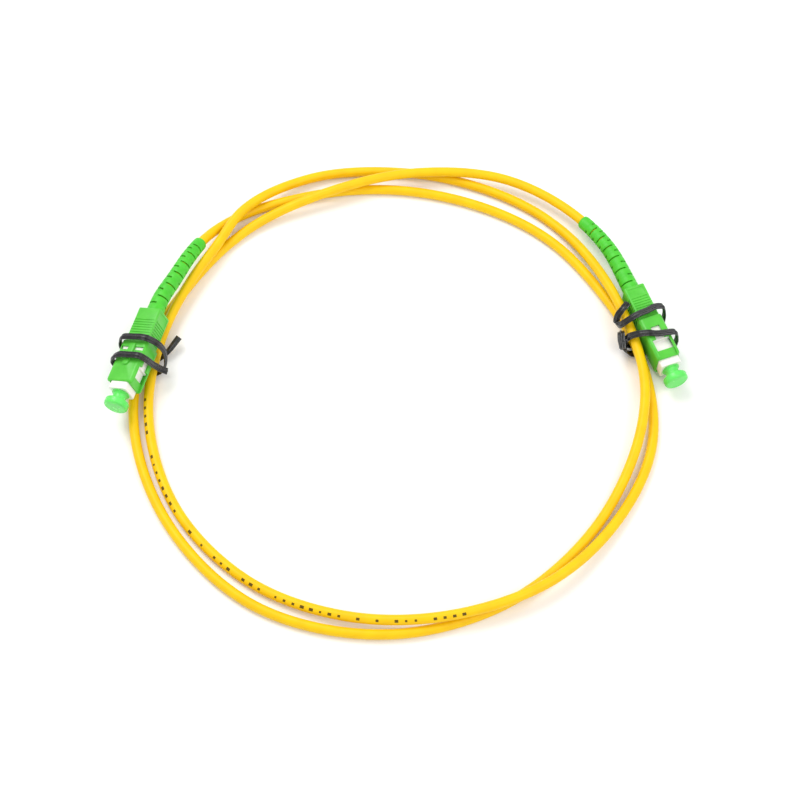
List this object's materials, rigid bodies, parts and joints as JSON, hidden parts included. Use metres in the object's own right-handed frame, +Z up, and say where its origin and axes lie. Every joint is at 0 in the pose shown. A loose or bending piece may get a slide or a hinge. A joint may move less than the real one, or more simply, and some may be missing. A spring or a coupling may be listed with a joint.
{
  "type": "fiber optic patch cord",
  "caption": "Simplex fiber optic patch cord, coiled in flat loops, with square push-pull plugs, strain relief boots, dust caps and twist ties.",
  "frame": {"origin": "On the surface the cord lies on, under the middle of the box around the plugs, boots, caps and ties; the cable is left out of that box.", "axes": "+X to the right plug, along the longest extent; +Y away from the viewer; +Z up from the surface."},
  "size_m": [0.1731, 0.1606, 0.0153],
  "materials": {
    "yellow_pvc": "smooth satin cable jacket",
    "aramid": "loose fine yarn",
    "white_buffer": "smooth",
    "green_plastic": "moulded, satin gloss",
    "white_plastic": "moulded, satin gloss",
    "zirconia": "polished",
    "stainless": "turned",
    "crimp_metal": "crimped",
    "green_rubber": "soft satin boot",
    "clear_green": "translucent soft cap",
    "black_vinyl": "ribbed vinyl ribbon",
    "tie_steel": "annealed wire"
  },
  "bodies": {
    "cord": {"cable_jacket": "yellow_pvc", "aramid_yarn": "aramid", "tight_buffer": "white_buffer", "plug_frame_left": "white_plastic", "spring_left": "stainless", "rear_body_left": "stainless", "inner_tube_left": "white_plastic", "crimp_sleeve_left": "crimp_metal", "boot_left": "green_rubber", "plug_frame_right": "white_plastic", "spring_right": "stainless", "rear_body_right": "stainless", "inner_tube_right": "white_plastic", "crimp_sleeve_right": "crimp_metal", "boot_right": "green_rubber", "tie_left": "black_vinyl", "tie_wire_left": "tie_steel", "tie_right": "black_vinyl", "tie_wire_right": "tie_steel"},
    "housing_left": {"outer_housing_left": "green_plastic"},
    "ferrule_unit_left": {"ferrule_left": "zirconia", "ferrule_flange_left": "stainless"},
    "cap_left": {"dust_cap_left": "clear_green"},
    "housing_right": {"outer_housing_right": "green_plastic"},
    "ferrule_unit_right": {"ferrule_right": "zirconia", "ferrule_flange_right": "stainless"},
    "cap_right": {"dust_cap_right": "clear_green"}
  },
  "joints": [
    {"name": "housing_slide_left", "type": "slide", "parent": "cord", "child": "housing_left", "axis": [-0.284, -0.9588, 0], "range_m": [-0.002, 0]},
    {"name": "ferrule_slide_left", "type": "slide", "parent": "cord", "child": "ferrule_unit_left", "axis": [-0.284, -0.9588, 0], "range_m": [-0.0015, 0], "stiffness_N_per_m": 2000, "springref_m": 0.0015, "deforming": ["spring_left"]},
    {"name": "cap_pull_left", "type": "slide", "parent": "cord", "child": "cap_left", "axis": [-0.284, -0.9588, 0], "range_m": [0, 0.02]},
    {"name": "housing_slide_right", "type": "slide", "parent": "cord", "child": "housing_right", "axis": [0.342, -0.9397, 0], "range_m": [-0.002, 0]},
    {"name": "ferrule_slide_right", "type": "slide", "parent": "cord", "child": "ferrule_unit_right", "axis": [0.342, -0.9397, 0], "range_m": [-0.0015, 0], "stiffness_N_per_m": 2000, "springref_m": 0.0015, "deforming": ["spring_right"]},
    {"name": "cap_pull_right", "type": "slide", "parent": "cord", "child": "cap_right", "axis": [0.342, -0.9397, 0], "range_m": [0, 0.02]}
  ]
}
